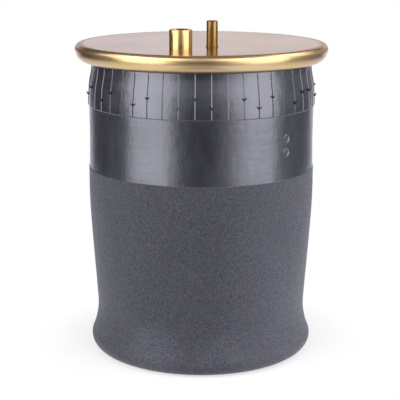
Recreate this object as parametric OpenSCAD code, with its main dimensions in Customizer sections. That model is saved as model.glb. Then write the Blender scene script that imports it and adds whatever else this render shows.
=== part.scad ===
// Air suspension spring: a rolling-lobe rubber sleeve closed by a crimped steel
// plate at the top and by a smaller crimped plate that sits rolled up inside it.
// Millimetres. Z = 0 is the lowest point of the rolled lobe, on the sleeve's axis.

/* [Overall] */
// Outside diameter of the top bead plate
plate_d = 280; // [276:1:284]
// Height of the top plate's face above the bottom of the lobe
plate_top = 347; // [345:1:349]
// Height of the flat outer face of the lower plate
lower_face = 92; // [90:0.5:94]
// Outside diameter of the lower bead plate
lower_d = 160; // [158:1:162]

/* [Bead plates] */
// Sheet thickness of both plates
sheet = 2.5; // [2.3:0.1:2.6]
// Outside radius of the curl that holds the bead
curl_r = 12.5; // [12.3:0.1:12.7]
// Outside radius of the corner between flat and curl
corner_r = 5.5; // [5.3:0.1:5.7]
// How far the lip runs on inwards past the bottom of the curl
lip_run = 2.7; // [2.6:0.1:2.8]

/* [Sleeve wall] */
// Thickness of the rubber cover under its raised zones
cover_t = 1.2; // [1.1:0.05:1.3]
// Thickness of each rubberised cord ply
ply_t = 0.7; // [0.6:0.05:0.75]
// Thickness of the airtight liner
liner_t = 0.85; // [0.8:0.05:0.9]
// Gap left between neighbouring layers
layer_gap = 0.02; // [0.01:0.01:0.03]
// How far the ribbed zone stands above the plain band
ribbed_rise = 0.7; // [0.5:0.1:0.8]
// How far the grained lower zone stands above the plain band
grained_rise = 0.8; // [0.6:0.1:0.9]
// Height of the plain band's upper edge
band_top = 279.5; // [278:0.5:281]
// Height of the plain band's lower edge
band_bottom = 210.5; // [209:0.5:212]
// Number of mould lines round the ribbed zone
rib_count = 46; // [40:1:50]
// Width of a mould line
rib_w = 1.2; // [0.8:0.1:1.4]
// Height of a mould line above the ribbed zone
rib_h = 0.8; // [0.5:0.05:1]
// Angle of the first mould line from the front, towards +X
rib_phase = 4.8; // [0:0.1:7]

/* [Rolled lobe] */
// Radius at which the lobe touches the ground
lobe_mid_r = 113.6; // [113:0.1:114]
// Radius of the lobe's round section, to the smooth wall
lobe_r = 11.9; // [11.7:0.1:12]
// Lean of the rolled-in wall towards the axis
inner_lean = 8; // [7.5:0.1:8.5]

/* [Top fittings] */
// Outside diameter of the air inlet boss
boss_d = 24.2; // [23:0.1:26]
// Height of the air inlet boss above the plate
boss_h = 22; // [18:0.5:26]
// Tapping bore of the air inlet, for an M16 x 1.5 thread
boss_bore_d = 14.5; // [14.5]
// Position of the air inlet boss
boss_at = [-21.7, -85];
// Thread diameter of the mounting stud
stud_d = 12; // [12]
// Height of the mounting stud above the plate
stud_h = 28; // [24:0.5:32]
// Position of the mounting stud
stud_at = [11.3, -46.5];

/* [Lower fittings] */
// Pitch circle diameter of the blind nuts
nut_pcd = 80; // [79:0.5:81]
// Number of blind nuts
nut_count = 4; // [3:1:6]
// Tapping bore of a blind nut, for an M10 thread
nut_bore_d = 8.5; // [8.5]
// Diameter of the bumper's foot
bumper_foot_d = 59; // [56:1:60]
// Height of the bumper's rubber
bumper_h = 68; // [60:1:74]

/* [Hidden] */
$fn = 128;

// Colours
gold = [0.80, 0.66, 0.36];
plate_grey = [0.78, 0.74, 0.72];
rubber = [0.24, 0.25, 0.28];
liner_black = [0.13, 0.13, 0.14];
cord = [0.62, 0.52, 0.38];
steel = [0.70, 0.71, 0.73];

// Clearances: a crimped fit, and the wider one between parts that move apart
crimp_gap = 0.05;
free_gap = 0.3;

// The curl's centre: both plates share one rim section, the lower one mirrored
plate_r = plate_d / 2;
lower_r = lower_d / 2;
curl_drop = corner_r;
top_c = [plate_r - curl_r, plate_top - curl_drop];
low_c = [lower_r - curl_r, lower_face + curl_drop];

// Distance of the flat's inner end from the curl's centre, outside and inside
corner_dx = curl_r - corner_r;
channel_r = curl_r - sheet;
flat_in = curl_drop - sheet;

// The bead: radius of its outer corner, the turn round the lip, and its heel
bead_corner = 3.8;
lip_turn = 3;
lip_turn_steps = 4;
heel_run = 14;
neck_dx = lip_run + lip_turn;

// Depths of the layer faces below the smooth outer surface
cover_in = cover_t;
ply1_out = cover_in + layer_gap;
ply1_in = ply1_out + ply_t;
ply2_out = ply1_in + layer_gap;
ply2_in = ply2_out + ply_t;
liner_out = ply2_in + layer_gap;
liner_in = liner_out + liner_t;

// Where the lobe's round section starts, and the sleeve wall's radius at set heights
lobe_start = 25;
lobe_z = lobe_r + grained_rise;
lobe_top = [lobe_mid_r + lobe_r * cos(lobe_start), lobe_z + lobe_r * sin(lobe_start)];
neck_z = top_c.y - channel_r + crimp_gap - lip_turn;
wall_keys = [
    [neck_z, top_c.x - neck_dx], [320, 121.4], [312.5, 122.5], [306, 123.8], [298, 124.7],
    [288, 125.35], [band_top, 125.45], [245, 125.1], [band_bottom, 125.6], [172, 125.4],
    [132, 123.2], [97, 120.8], [67, 118.7], [47, 117.8], [32, 119.9], [lobe_top.y, lobe_top.x]
];

// The fold over the lower plate's rim joins the leaning wall to the lower neck
low_neck = [low_c.x - neck_dx, low_c.y + channel_r - free_gap + lip_turn];
lean_end = inner_lean - 180;
lean_foot = [lobe_mid_r + lobe_r * cos(lean_end), lobe_z + lobe_r * sin(lean_end)];
neck_rise = 0.6;
fold_z = low_neck.y + neck_rise;
fold_r = (lean_foot.x - low_neck.x - (fold_z - lean_foot.y) * tan(inner_lean))
    / (1 + cos(inner_lean) + sin(inner_lean) * tan(inner_lean));
fold_c = [low_neck.x + fold_r, fold_z];

// Heights at which the outer surface is stepped, with their small ramps
ramp = 0.8;
rise_fade = 10;
wall_steps = [320, 314, 308, 302, 295, 287, band_top + ramp, band_top, 262, 245, 228,
    band_bottom, band_bottom - ramp, 192, 172, 152, 132, 114, 97, 82, 67, 56, 47, 39, 32, 25];

// Points along a round arc from angle a0 to a1
function arc(c, r, a0, a1, steps) =
    [for (i = [0:steps]) let (a = a0 + (a1 - a0) * i / steps) c + r * [cos(a), sin(a)]];

function drop_first(list) = [for (i = [1:len(list) - 1]) list[i]];
function reversed(list) = [for (i = [len(list) - 1:-1:0]) list[i]];
function unit(v) = v / norm(v);

// Smooth curve through the wall keys: Hermite pieces with slopes from the neighbours
lobe_slope = -tan(lobe_start);
function key_slope(i) =
    i == 0 ? 0
    : i == len(wall_keys) - 1 ? lobe_slope
    : (wall_keys[i + 1].y - wall_keys[i - 1].y) / (wall_keys[i + 1].x - wall_keys[i - 1].x);
function key_index(z, i = 0) = i >= len(wall_keys) - 2 || z >= wall_keys[i + 1].x ? i : key_index(z, i + 1);
function wall_r(z) = let (
    i = key_index(z),
    k0 = wall_keys[i],
    k1 = wall_keys[i + 1],
    h = k1.x - k0.x,
    t = (z - k0.x) / h
) (1 + 2 * t) * pow(1 - t, 2) * k0.y + t * pow(1 - t, 2) * h * key_slope(i)
    + t * t * (3 - 2 * t) * k1.y + t * t * (t - 1) * h * key_slope(i + 1);

// Bead outline about the curl's centre, from heel to neck, with gap g to the sheet
function bead_path(g) = let (
    corner_z = flat_in - g - bead_corner,
    corner_x = sqrt(pow(channel_r - g - bead_corner, 2) - corner_z * corner_z),
    meet = atan2(corner_z, corner_x)
) concat(
    [[-heel_run, flat_in - g]],
    arc([corner_x, corner_z], bead_corner, 90, meet, 4),
    drop_first(arc([0, 0], channel_r - g, meet, -90, 6)),
    arc([-lip_run, g - channel_r - lip_turn], lip_turn, 90, 180, lip_turn_steps)
);

top_bead = [for (p = bead_path(crimp_gap)) top_c + p];
low_bead = reversed([for (p = bead_path(free_gap)) low_c + [p.x, -p.y]]);

// The sleeve's smooth outer surface, from the upper heel round to the lower heel
lobe_path = arc([lobe_mid_r, lobe_z], lobe_r, lobe_start, -90, 9);
inner_lobe_path = drop_first(arc([lobe_mid_r, lobe_z], lobe_r, -90, lean_end, 7));
fold_path = arc(fold_c, fold_r, inner_lean, 180, 12);
outer_run = concat(top_bead, [for (z = wall_steps) [wall_r(z), z]], lobe_path);
sleeve_path = concat(outer_run, inner_lobe_path, fold_path, low_bead);
last = len(sleeve_path) - 1;

// Unit normal of a segment, pointing to the air side of the wall
function seg_normal(i) = let (d = unit(sleeve_path[i + 1] - sleeve_path[i])) [d.y, -d.x];

// Mitred normal at a point of the sleeve path
function path_normal(i) =
    i == 0 ? seg_normal(0)
    : i == last ? seg_normal(last - 1)
    : let (n0 = seg_normal(i - 1), n1 = seg_normal(i)) (n0 + n1) / (1 + n0 * n1);

normals = [for (i = [0:last]) path_normal(i)];
function offset_path(depth) = [for (i = [0:last]) sleeve_path[i] + depth * normals[i]];

// Rise of the outer surface above the smooth wall: ribbed zone, plain band, grained zone
low_bead_start = last - len(low_bead) + 1;
fold_fade = 6;
function rise(i) = let (p = sleeve_path[i])
    i < len(top_bead) ? 0
    : i >= len(outer_run) ? grained_rise * max(0, min(1, (low_bead_start - i) / fold_fade))
    : p.y > band_top + ramp / 2 ? ribbed_rise * min(1, (neck_z - p.y) / rise_fade)
    : p.y > band_bottom - ramp / 2 ? 0
    : grained_rise;
cover_face = [for (i = [0:last]) sleeve_path[i] - rise(i) * normals[i]];

// A layer is the sheet between two depths
module layer(outer_face, inner_face) {
    rotate_extrude()
        polygon(concat(outer_face, reversed(inner_face)));
}

// One mould line: a thin upright fin that follows the ribbed zone
rib_bite = 0.5;
rib_heights = [for (z = wall_steps) if (z > band_top + ramp / 2) z];
rib_top = neck_z - 2;
function ribbed_r(z) = wall_r(z) + ribbed_rise * min(1, (neck_z - z) / rise_fade);
module mould_line() {
    outer = [for (z = rib_heights) [ribbed_r(z) + rib_h, z]];
    inner = [for (z = rib_heights) [ribbed_r(z) - rib_bite, z]];
    head = [[ribbed_r(rib_top) - rib_bite, rib_top], [ribbed_r(rib_top) + rib_h / 2, rib_top]];
    rotate([90, 0, 0])
        linear_extrude(rib_w, center = true)
            polygon(concat(head, outer, reversed(inner)));
}

// The curled rim of a bead plate, from the flat's centre out and round to the lip
function rim_outline(flat_run) = concat(
    [[-flat_run, curl_drop - sheet], [-flat_run, curl_drop]],
    arc([corner_dx, 0], corner_r, 90, 0, 6),
    drop_first(arc([0, 0], curl_r, 0, -90, 12)),
    arc([-lip_run, -curl_r + sheet / 2], sheet / 2, -90, -270, 6),
    arc([0, 0], channel_r, -90, 0, 12),
    drop_first(arc([corner_dx, 0], corner_r - sheet, 0, 90, 4))
);

// A bead core is a ring of wound wire in the middle of the bead
core_r = 2.75;
core_z = (flat_in - channel_r) / 2;
low_core_r = core_r - free_gap;

// The filler is the wedge between the core, the turned-in heel and the sleeve wall.
// It stands off the liner by s, and its curve has the liner's own corners.
filler_end = -1.4;
turn_step = 90 / lip_turn_steps;
module bead_filler_section(g, s, ring_r) {
    top_z = flat_in - g - liner_in - s;
    turn_c = [-lip_run, g - channel_r - lip_turn];
    turn_r = lip_turn + (liner_in + s) / cos(turn_step / 2);
    difference() {
        polygon(concat(
            [[filler_end, turn_c.y + turn_r], [filler_end, top_z], [s - heel_run, top_z]],
            arc(turn_c, turn_r, 180 - turn_step, 90, lip_turn_steps - 1)
        ));
        translate([0, core_z])
            circle(ring_r + s);
    }
}

module top_bead_plate() {
    color(gold)
        difference() {
            rotate_extrude()
                translate(top_c)
                    polygon(rim_outline(top_c.x));
            translate([boss_at.x, boss_at.y, plate_top - sheet - 1])
                cylinder(r = boss_seat_r + fit_gap, h = sheet + 2);
            translate([stud_at.x, stud_at.y, plate_top - sheet - 1])
                cylinder(r = stud_neck_r + fit_gap, h = sheet + 2);
        }
}

// Air inlet: a turned boss pushed up through the plate, with a flange under it and a threaded bore
fit_gap = 0.02;
boss_r = boss_d / 2;
boss_seat_r = boss_r + 0.2;
boss_flange_r = 15;
boss_flange_h = 3;
boss_foot = sheet + boss_flange_h;
boss_chamfer = 0.8;
module air_inlet_boss() {
    color(gold)
        translate([boss_at.x, boss_at.y, plate_top])
            difference() {
                union() {
                    cylinder(r = boss_r, h = boss_h - boss_chamfer);
                    translate([0, 0, boss_h - boss_chamfer])
                        cylinder(r1 = boss_r, r2 = boss_r - boss_chamfer, h = boss_chamfer);
                    translate([0, 0, -sheet])
                        cylinder(r = boss_seat_r, h = sheet);
                    translate([0, 0, -boss_foot])
                        cylinder(r = boss_flange_r, h = boss_flange_h);
                }
                translate([0, 0, -boss_foot - 1])
                    cylinder(d = boss_bore_d, h = boss_h + boss_foot + 2);
                translate([0, 0, boss_h - boss_chamfer])
                    cylinder(d1 = boss_bore_d, d2 = boss_bore_d + 2 * boss_chamfer + 0.2, h = boss_chamfer + 0.1);
            }
}

// A fillet weld round a flange of radius r, on the plate's inner face so that the outer one stays flat
module weld_ring(r, leg) {
    translate([0, 0, plate_top - sheet])
        rotate_extrude()
            polygon([[r + fit_gap, 0], [r + leg, 0], [r + leg * 0.62, -leg * 0.42], [r + fit_gap, -leg]]);
}

boss_weld_leg = 1.4;
module air_inlet_weld() {
    color(gold)
        translate(boss_at)
            weld_ring(boss_flange_r, boss_weld_leg);
}

// Mounting stud: head under the plate, neck through it and a threaded shank above
stud_neck_r = 6.7;
stud_neck_h = 2.5;
stud_head_r = 10;
stud_head_h = 3;
stud_chamfer = 1;
module mounting_stud() {
    color(gold)
        translate([stud_at.x, stud_at.y, plate_top]) {
            translate([0, 0, -sheet - stud_head_h])
                cylinder(r = stud_head_r, h = stud_head_h);
            translate([0, 0, -sheet])
                cylinder(r = stud_neck_r, h = sheet + stud_neck_h);
            translate([0, 0, stud_neck_h])
                cylinder(d = stud_d, h = stud_h - stud_neck_h - stud_chamfer);
            translate([0, 0, stud_h - stud_chamfer])
                cylinder(d1 = stud_d, d2 = stud_d - 2 * stud_chamfer, h = stud_chamfer);
        }
}

stud_weld_leg = 1.2;
module mounting_stud_weld() {
    color(gold)
        translate(stud_at)
            weld_ring(stud_head_r, stud_weld_leg);
}

module upper_bead_core() {
    color(steel)
        rotate_extrude()
            translate(top_c + [0, core_z])
                circle(core_r);
}

module upper_bead_filler() {
    color(liner_black)
        rotate_extrude()
            translate(top_c)
                bead_filler_section(crimp_gap, crimp_gap, core_r);
}

module outer_cover() {
    color(rubber)
        union() {
            layer(cover_face, offset_path(cover_in));
            for (k = [0:rib_count - 1])
                rotate([0, 0, rib_phase - 90 + 360 * k / rib_count])
                    mould_line();
        }
}

module cord_ply_outer() {
    color(cord)
        layer(offset_path(ply1_out), offset_path(ply1_in));
}

module cord_ply_inner() {
    color(cord)
        layer(offset_path(ply2_out), offset_path(ply2_in));
}

module inner_liner() {
    color(liner_black)
        layer(offset_path(liner_out), offset_path(liner_in));
}

// The lower plate closes the sleeve's rolled-in end: flat face down, curl upwards
nut_spigot_r = 5.5;
module lower_bead_plate() {
    color(plate_grey)
        difference() {
            rotate_extrude()
                translate(low_c)
                    mirror([0, 1])
                        polygon(rim_outline(low_c.x));
            for (k = [0:nut_count - 1])
                rotate([0, 0, 45 + 360 * k / nut_count])
                    translate([nut_pcd / 2, 0, lower_face - 1])
                        cylinder(r = nut_spigot_r + fit_gap, h = sheet + 2);
        }
}

module lower_bead_core() {
    color(steel)
        rotate_extrude()
            translate(low_c - [0, core_z])
                circle(low_core_r);
}

module lower_bead_filler() {
    color(liner_black)
        rotate_extrude()
            translate(low_c)
                mirror([0, 1])
                    bead_filler_section(free_gap, free_gap, low_core_r);
}

// Blind nuts: closed at the top so that the air chamber stays tight
nut_r = 8;
nut_h = 18;
nut_depth = 17;
nut_dome = 1.5;
inside_face = lower_face + sheet;
module blind_nut() {
    difference() {
        union() {
            translate([0, 0, inside_face])
                cylinder(r = nut_r, h = nut_h - nut_dome);
            translate([0, 0, inside_face + nut_h - nut_dome])
                cylinder(r1 = nut_r, r2 = nut_r - nut_dome, h = nut_dome);
            translate([0, 0, lower_face])
                cylinder(r = nut_spigot_r, h = sheet + 1);
        }
        translate([0, 0, lower_face - 1])
            cylinder(d = nut_bore_d, h = nut_depth + 1);
    }
}

module blind_nuts() {
    color(steel)
        for (k = [0:nut_count - 1])
            rotate([0, 0, 45 + 360 * k / nut_count])
                translate([nut_pcd / 2, 0, 0])
                    blind_nut();
}

// Bumper: a hollow rubber stop with a waist, bonded to a steel foot
foot_r = bumper_foot_d / 2;
base_t = 3;
base_top = inside_face + base_t;
bumper_bore_r = 13;
bumper_keys = [[0, 0], [-0.2, 0.08], [-3.2, 0.22], [-5.6, 0.36], [-3.4, 0.50], [-2.6, 0.58],
    [-4.2, 0.68], [-6.4, 0.80], [-8.6, 0.90], [-11.6, 0.97], [-14.2, 1]];
module bumper() {
    outer = [for (k = bumper_keys) [foot_r + k.x, base_top + k.y * bumper_h]];
    color(rubber)
        rotate_extrude()
            polygon(concat([[bumper_bore_r, base_top]], outer,
                [[bumper_bore_r + 1, base_top + bumper_h], [bumper_bore_r, base_top + bumper_h - 2]]));
}

base_hole_r = 7.4;
module bumper_base_plate() {
    color(steel)
        translate([0, 0, inside_face])
            difference() {
                cylinder(r = foot_r, h = base_t);
                translate([0, 0, -1])
                    cylinder(r = base_hole_r, h = base_t + 2);
            }
}

// The bumper's stud is welded to the plate, so nothing pierces the closure
bumper_stud_d = 10;
bumper_stud_h = 18;
bumper_stud_foot = 7;
module bumper_stud() {
    color(steel)
        translate([0, 0, inside_face])
            union() {
                cylinder(r1 = bumper_stud_foot, r2 = bumper_stud_d / 2, h = 1.6);
                cylinder(d = bumper_stud_d, h = bumper_stud_h - stud_chamfer);
                translate([0, 0, bumper_stud_h - stud_chamfer])
                    cylinder(d1 = bumper_stud_d, d2 = bumper_stud_d - 2 * stud_chamfer, h = stud_chamfer);
            }
}

washer_r = 12;
washer_t = 2.5;
module bumper_washer() {
    color(steel)
        translate([0, 0, base_top])
            difference() {
                cylinder(r = washer_r, h = washer_t);
                translate([0, 0, -1])
                    cylinder(d = bumper_stud_d + 0.6, h = washer_t + 2);
            }
}

nut_across = 17;
hex_nut_h = 8.4;
module bumper_nut() {
    color(steel)
        translate([0, 0, base_top + washer_t])
            difference() {
                cylinder(d = nut_across / cos(30), h = hex_nut_h, $fn = 6);
                translate([0, 0, -1])
                    cylinder(d = bumper_stud_d + 0.06, h = hex_nut_h + 2);
            }
}

top_bead_plate();
air_inlet_boss();
air_inlet_weld();
mounting_stud();
mounting_stud_weld();
upper_bead_core();
upper_bead_filler();
outer_cover();
cord_ply_outer();
cord_ply_inner();
inner_liner();
lower_bead_plate();
lower_bead_core();
lower_bead_filler();
blind_nuts();
bumper();
bumper_base_plate();
bumper_stud();
bumper_washer();
bumper_nut();
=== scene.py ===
import math

import bmesh
import bpy
import numpy as np
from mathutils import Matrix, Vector

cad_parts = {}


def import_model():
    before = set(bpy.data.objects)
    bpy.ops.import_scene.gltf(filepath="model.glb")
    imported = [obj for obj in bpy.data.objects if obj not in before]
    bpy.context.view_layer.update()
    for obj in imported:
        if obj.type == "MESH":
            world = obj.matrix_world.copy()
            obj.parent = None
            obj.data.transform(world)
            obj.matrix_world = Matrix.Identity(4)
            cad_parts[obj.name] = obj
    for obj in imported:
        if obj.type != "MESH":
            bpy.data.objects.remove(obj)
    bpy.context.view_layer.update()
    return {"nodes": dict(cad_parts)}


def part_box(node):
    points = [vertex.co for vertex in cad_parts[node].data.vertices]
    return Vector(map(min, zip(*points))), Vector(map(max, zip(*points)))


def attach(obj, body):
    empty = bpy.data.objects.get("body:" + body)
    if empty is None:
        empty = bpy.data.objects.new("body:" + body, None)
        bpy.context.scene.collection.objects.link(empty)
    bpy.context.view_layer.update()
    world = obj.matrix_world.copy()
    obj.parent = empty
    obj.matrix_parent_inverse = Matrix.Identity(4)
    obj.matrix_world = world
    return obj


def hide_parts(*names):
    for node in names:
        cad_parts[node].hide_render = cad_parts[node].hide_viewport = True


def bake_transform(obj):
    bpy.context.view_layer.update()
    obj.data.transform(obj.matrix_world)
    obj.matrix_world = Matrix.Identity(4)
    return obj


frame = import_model()

# The scene is in metres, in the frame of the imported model. Outlines are worked out in
# millimetres and turned into metres when a mesh is made.
MM = 0.001

# Driving sizes in millimetres; those that a box in the frame gives are read from it
PLATE_TOP = 347.0
PLATE_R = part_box("top_bead_plate")[1].x / MM
LOWER_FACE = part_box("lower_bead_plate")[0].z / MM
LOWER_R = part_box("lower_bead_plate")[1].x / MM
BOSS_LOW, BOSS_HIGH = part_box("air_inlet_boss")
STUD_LOW, STUD_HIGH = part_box("mounting_stud")

# The rim section that both bead plates share: a flat sheet whose edge is curled round the bead
# and ends in a short lip
SHEET = 2.5
CURL_R = 12.5
CORNER_R = 5.5
LIP_RUN = 2.7
LIP_TURN = 3.0
CHANNEL_R = CURL_R - SHEET
FLAT_IN = CORNER_R - SHEET
TOP_CURL = (PLATE_R - CURL_R, PLATE_TOP - CORNER_R)
LOW_CURL = (LOWER_R - CURL_R, LOWER_FACE + CORNER_R)

# The sleeve's bead, which fills the curl, and its play in the top and the lower plate
BEAD_CORNER = 3.8
HEEL_RUN = 14.0
NECK_DX = LIP_RUN + LIP_TURN
CRIMP_GAP = 0.05
FREE_GAP = 0.3

# Depths of the four layers below the smooth outer surface
LAYERS = {
    "outer_cover": (0.0, 1.2),
    "cord_ply_outer": (1.22, 1.92),
    "cord_ply_inner": (1.94, 2.64),
    "inner_liner": (2.66, 3.51),
}

# Zones of the cover
BAND_TOP = 279.5
BAND_BOTTOM = 210.5
RAMP = 0.8
RIBBED_RISE = 0.7
GRAINED_RISE = 0.8
RISE_FADE = 10.0

# Mould lines of the ribbed zone: their angles in degrees, and half their width at the foot. They
# end a little below the neck and fade out towards that end.
RIB_COUNT = 46
RIB_PITCH = 360.0 / RIB_COUNT
RIB_PHASE = 4.8
RIB_FOOT = 0.625
RIB_HEIGHT = 0.5
RIB_END_GAP = 1.0
RIB_END_FADE = 4.0

# The rolled lobe and the fold over the lower plate's rim
LOBE_MID_R = 113.6
LOBE_R = 11.9
LOBE_START = 25.0
LOBE_Z = LOBE_R + GRAINED_RISE
INNER_LEAN = 8.0
NECK_RISE = 0.6

# Steps of the meshes. The close ones reach EDGE_REACH past each edge of the plain band, and no
# even one is nearer to it than EDGE_CLEAR. A run of DENSE_RUN points or more keeps only every
# second point on a layer's inner side.
WALL_STEPS = 112
EDGE_STEPS = 11
EDGE_REACH = 1.0
EDGE_CLEAR = 1.2
FADE_POINTS = 14
DENSE_RUN = 100
COLUMNS = 160
SHARP_ANGLE = 40


def cosd(a):
    return math.cos(math.radians(a))


def sind(a):
    return math.sin(math.radians(a))


# Outlines: lists of (radius, height) in millimetres


def arc(centre, radius, start, end, steps):
    a = np.radians(np.linspace(start, end, steps + 1))
    return np.column_stack((centre[0] + radius * np.cos(a), centre[1] + radius * np.sin(a)))


NECK_Z = TOP_CURL[1] - CHANNEL_R + CRIMP_GAP - LIP_TURN
LOBE_TOP = (LOBE_MID_R + LOBE_R * cosd(LOBE_START), LOBE_Z + LOBE_R * sind(LOBE_START))
WALL_KEYS = [
    (NECK_Z, TOP_CURL[0] - NECK_DX), (320, 121.4), (312.5, 122.5), (306, 123.8), (298, 124.7),
    (288, 125.35), (BAND_TOP, 125.45), (245, 125.1), (BAND_BOTTOM, 125.6), (172, 125.4),
    (132, 123.2), (97, 120.8), (67, 118.7), (47, 117.8), (32, 119.9), (LOBE_TOP[1], LOBE_TOP[0]),
]


def key_slope(i):
    if i == 0:
        return 0.0
    if i == len(WALL_KEYS) - 1:
        return -math.tan(math.radians(LOBE_START))
    (z0, r0), (z1, r1) = WALL_KEYS[i - 1], WALL_KEYS[i + 1]
    return (r1 - r0) / (z1 - z0)


def wall_r(z):
    """Radius of the smooth outer wall at height z: Hermite pieces between the keys."""
    i = 0
    while i < len(WALL_KEYS) - 2 and z < WALL_KEYS[i + 1][0]:
        i += 1
    (z0, r0), (z1, r1) = WALL_KEYS[i], WALL_KEYS[i + 1]
    h = z1 - z0
    t = (z - z0) / h
    return (
        (1 + 2 * t) * (1 - t) ** 2 * r0
        + t * (1 - t) ** 2 * h * key_slope(i)
        + t * t * (3 - 2 * t) * r1
        + t * t * (t - 1) * h * key_slope(i + 1)
    )


def bead_path(gap):
    """The bead's outline about the curl's centre, from its heel to the neck."""
    corner_z = FLAT_IN - gap - BEAD_CORNER
    corner_x = math.sqrt((CHANNEL_R - gap - BEAD_CORNER) ** 2 - corner_z**2)
    meet = math.degrees(math.atan2(corner_z, corner_x))
    return np.vstack((
        [(-HEEL_RUN, FLAT_IN - gap), (-HEEL_RUN / 2, FLAT_IN - gap)],
        arc((corner_x, corner_z), BEAD_CORNER, 90, meet, 8),
        arc((0, 0), CHANNEL_R - gap, meet, -90, 20)[1:],
        arc((-LIP_RUN, gap - CHANNEL_R - LIP_TURN), LIP_TURN, 90, 180, 10),
    ))


def wall_heights():
    """Heights down the wall: even steps, with close ones at the edges of the plain band."""
    zs = set(np.round(np.linspace(NECK_Z, LOBE_TOP[1], WALL_STEPS)[1:-1], 3))
    for low in (BAND_TOP, BAND_BOTTOM - RAMP):
        high = low + RAMP
        zs = {z for z in zs if not low - EDGE_CLEAR < z < high + EDGE_CLEAR}
        zs |= set(np.linspace(low - EDGE_REACH, high + EDGE_REACH, EDGE_STEPS))
    return sorted(zs, reverse=True)


def outer_run():
    """The smooth surface from the upper bead down to the bottom of the lobe, and how many of its
    points are the bead's."""
    top_bead = bead_path(CRIMP_GAP) + TOP_CURL
    wall = np.array([(wall_r(z), z) for z in wall_heights()])
    lobe = arc((LOBE_MID_R, LOBE_Z), LOBE_R, LOBE_START, -90, 24)
    return np.vstack((top_bead, wall, lobe)), len(top_bead)


def rolled_run():
    """The same from the bottom of the lobe up inside and over to the lower bead."""
    low_bead = (bead_path(FREE_GAP) * (1, -1) + LOW_CURL)[::-1]
    neck = low_bead[0]
    lean_end = INNER_LEAN - 180
    foot = arc((LOBE_MID_R, LOBE_Z), LOBE_R, lean_end, lean_end, 0)[0]
    fold_z = neck[1] + NECK_RISE
    tan = math.tan(math.radians(INNER_LEAN))
    fold_r = (foot[0] - neck[0] - (fold_z - foot[1]) * tan) / (
        1 + cosd(INNER_LEAN) + sind(INNER_LEAN) * tan
    )
    fold = arc((neck[0] + fold_r, fold_z), fold_r, INNER_LEAN, 180, 28)
    lobe = arc((LOBE_MID_R, LOBE_Z), LOBE_R, -90, lean_end, 18)
    wall = np.linspace(lobe[-1], fold[0], 18)[1:-1]
    return np.vstack((lobe, wall, fold, low_bead)), len(low_bead)


OUTER = outer_run()
ROLLED = rolled_run()


def normals(path):
    """Unit normals, on the right of the path's direction, which is the air side."""
    d = np.gradient(path, axis=0)
    d /= np.linalg.norm(d, axis=1)[:, None]
    return np.column_stack((d[:, 1], -d[:, 0]))


def smoothstep(x):
    x = np.clip(x, 0, 1)
    return x * x * (3 - 2 * x)


def outer_rise(path, bead_points):
    """Rise of the cover over the smooth wall: ribbed zone, plain band and grained zone."""
    z = path[:, 1]
    fade = np.clip((NECK_Z - z) / RISE_FADE, 0, 1)
    ribbed = RIBBED_RISE * smoothstep((z - BAND_TOP) / RAMP) * fade
    grained = GRAINED_RISE * smoothstep((BAND_BOTTOM - z) / RAMP)
    rise = ribbed + grained
    rise[:bead_points] = 0
    return rise


def rolled_rise(path, bead_points):
    """The grained zone's rise, which fades out before the lower bead."""
    rise = np.full(len(path), GRAINED_RISE)
    end = len(path) - bead_points
    start = end - FADE_POINTS
    left = (end - np.arange(start, len(path))) / FADE_POINTS
    rise[start:] = GRAINED_RISE * np.clip(left, 0, 1)
    return rise


# Meshes


def add_object(name, data):
    obj = bpy.data.objects.new(name, data)
    bpy.context.scene.collection.objects.link(obj)
    return obj


def shade(mesh, sharp_angle):
    """Smooth, with hard edges where faces meet at more than sharp_angle degrees."""
    mesh.shade_smooth()
    mesh.set_sharp_from_angle(angle=math.radians(sharp_angle))


def new_mesh(name, vertices, faces):
    mesh = bpy.data.meshes.new(name)
    mesh.from_pydata(vertices.tolist(), [], faces)
    mesh.update()
    shade(mesh, SHARP_ANGLE)
    return add_object(name, mesh)


def ring_solid(name, outline, angles, lift=None):
    """A closed outline in millimetres, turned round the axis through angles in degrees.

    lift, if given, is an array (angles, outline points, 2) added to the outline at each angle."""
    n, m = len(angles), len(outline)
    rz = np.broadcast_to(outline, (n, m, 2)).copy()
    if lift is not None:
        rz += lift
    r, z = rz[..., 0], rz[..., 1]
    a = np.radians(angles)[:, None]
    vertices = np.stack((r * np.cos(a), r * np.sin(a), z), axis=-1) * MM
    i, j = np.meshgrid(np.arange(n), np.arange(m), indexing="ij")
    i2, j2 = (i + 1) % n, (j + 1) % m
    faces = np.stack((i * m + j, i * m + j2, i2 * m + j2, i2 * m + j), axis=-1).reshape(-1, 4)
    r, z = outline[:, 0], outline[:, 1]
    if np.sum(r * np.roll(z, -1) - np.roll(r, -1) * z) > 0:
        faces = faces[:, ::-1]
    return new_mesh(name, vertices.reshape(-1, 3), faces.tolist())


def keep_rest(obj):
    """Stores where each point is at rest, so that grain and zones stay put if the sleeve is moved.
    """
    co = np.empty(len(obj.data.vertices) * 3, np.float32)
    obj.data.vertices.foreach_get("co", co)
    rest = obj.data.attributes.new("rest", "FLOAT_VECTOR", "POINT")
    rest.data.foreach_set("vector", co)


def rib_angles():
    """Angles of the cover's columns, close over each mould line and wide between them, and how
    far up the ridge each one is."""
    mean_r = 125.0
    over_rib = np.array([-1.0, -0.8, -0.62, -0.5, -0.34, -0.17, 0, 0.17, 0.34, 0.5, 0.62, 0.8, 1.0])
    offsets = np.degrees(over_rib / mean_r)
    heights = 1 - smoothstep(np.abs(over_rib) / RIB_FOOT)
    between = np.linspace(0, 1, 7)[1:-1]
    gap = RIB_PITCH - 2 * offsets[-1]
    angles, ridge = [], []
    for k in range(RIB_COUNT):
        middle = RIB_PHASE - 90 + RIB_PITCH * k
        angles += list(middle + offsets) + list(middle + offsets[-1] + between * gap)
        ridge += list(heights) + [0.0] * len(between)
    return np.array(angles), np.array(ridge)


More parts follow.
